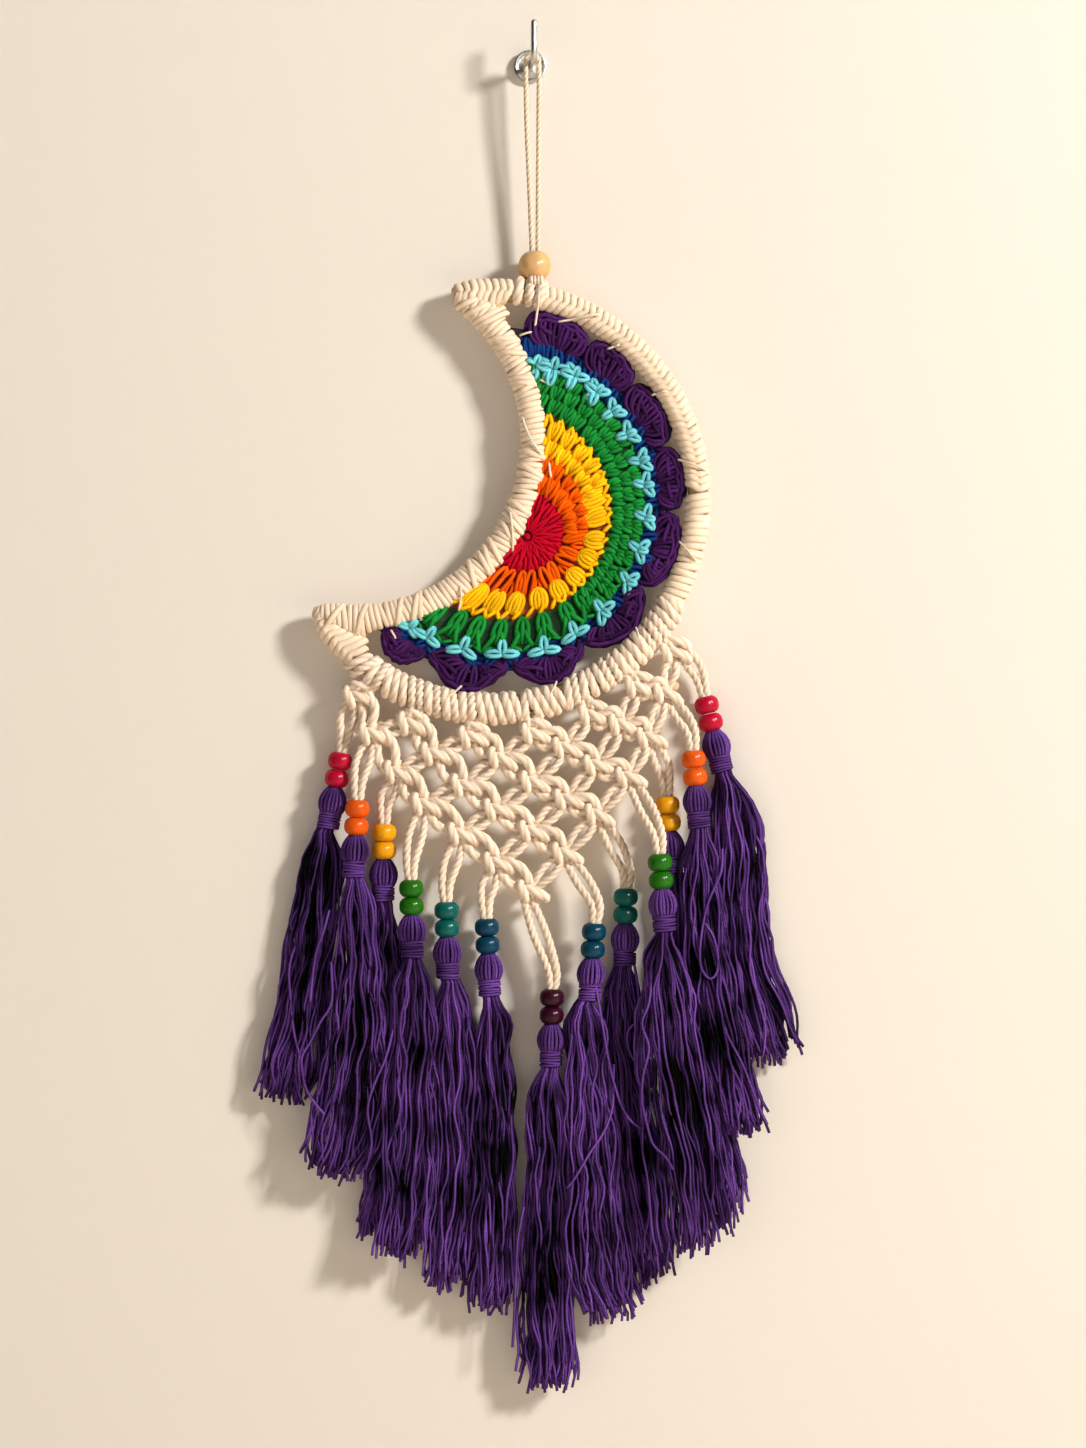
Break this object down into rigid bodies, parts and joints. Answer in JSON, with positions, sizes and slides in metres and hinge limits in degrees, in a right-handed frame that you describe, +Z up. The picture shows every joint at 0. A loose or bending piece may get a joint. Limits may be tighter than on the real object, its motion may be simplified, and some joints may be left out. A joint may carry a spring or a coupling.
{
  "type": "crescent moon dreamcatcher with its wall hook",
  "caption": "Wrapped crescent ring with a crocheted panel, a knotted cord net and beaded tassels, hung by a cord loop from a wall hook.",
  "frame": {"origin": "centre of the hook plate's back face, on the wall", "axes": "+Z up, +X to the viewer's right, +Y into the wall; the object hangs on the -Y side"},
  "size_m": [0.2648, 0.0282, 0.659],
  "materials": {
    "cotton_cord": "three-ply twisted cotton cord, natural",
    "twine": "twisted cotton twine, natural",
    "crochet_crimson": "crocheted cotton yarn",
    "crochet_orange": "crocheted cotton yarn",
    "crochet_yellow": "crocheted cotton yarn",
    "crochet_green": "crocheted cotton yarn",
    "crochet_turquoise": "crocheted cotton yarn",
    "crochet_navy": "crocheted cotton yarn",
    "crochet_purple": "crocheted cotton yarn",
    "tassel_yarn": "twisted cotton yarn, purple",
    "natural_wood": "clear lacquer",
    "steel": "bright zinc plating",
    "bead_red": "glossy paint",
    "bead_orange": "glossy paint",
    "bead_yellow": "glossy paint",
    "bead_green": "glossy paint",
    "bead_teal": "glossy paint",
    "bead_blue": "glossy paint",
    "bead_plum": "glossy paint"
  },
  "bodies": {
    "root": {"wrapped_ring": "cotton_cord", "macrame_net": "cotton_cord", "round_crimson": "crochet_crimson", "round_orange": "crochet_orange", "round_yellow": "crochet_yellow", "round_green": "crochet_green", "round_turquoise": "crochet_turquoise", "round_navy": "crochet_navy", "round_purple": "crochet_purple", "lashing_1": "twine", "lashing_2": "twine", "lashing_3": "twine", "lashing_4": "twine", "lashing_5": "twine", "lashing_6": "twine", "lashing_7": "twine", "lashing_8": "twine", "bead_red_left_upper": "bead_red", "bead_red_left_lower": "bead_red", "bead_orange_left_upper": "bead_orange", "bead_orange_left_lower": "bead_orange", "bead_yellow_left_upper": "bead_yellow", "bead_yellow_left_lower": "bead_yellow", "bead_green_left_upper": "bead_green", "bead_green_left_lower": "bead_green", "bead_teal_left_upper": "bead_teal", "bead_teal_left_lower": "bead_teal", "bead_blue_left_upper": "bead_blue", "bead_blue_left_lower": "bead_blue", "bead_plum_upper": "bead_plum", "bead_plum_lower": "bead_plum", "bead_blue_right_upper": "bead_blue", "bead_blue_right_lower": "bead_blue", "bead_teal_right_upper": "bead_teal", "bead_teal_right_lower": "bead_teal", "bead_green_right_upper": "bead_green", "bead_green_right_lower": "bead_green", "bead_yellow_right_upper": "bead_yellow", "bead_yellow_right_lower": "bead_yellow", "bead_orange_right_upper": "bead_orange", "bead_orange_right_lower": "bead_orange", "bead_red_right_upper": "bead_red", "bead_red_right_lower": "bead_red", "tassel_red_left": "tassel_yarn", "tassel_orange_left": "tassel_yarn", "tassel_yellow_left": "tassel_yarn", "tassel_green_left": "tassel_yarn", "tassel_teal_left": "tassel_yarn", "tassel_blue_left": "tassel_yarn", "tassel_plum": "tassel_yarn", "tassel_blue_right": "tassel_yarn", "tassel_teal_right": "tassel_yarn", "tassel_green_right": "tassel_yarn", "tassel_yellow_right": "tassel_yarn", "tassel_orange_right": "tassel_yarn", "tassel_red_right": "tassel_yarn", "hanging_loop": "twine", "wooden_bead": "natural_wood", "hook_plate": "steel", "hook_wire": "steel"}
  },
  "joints": []
}
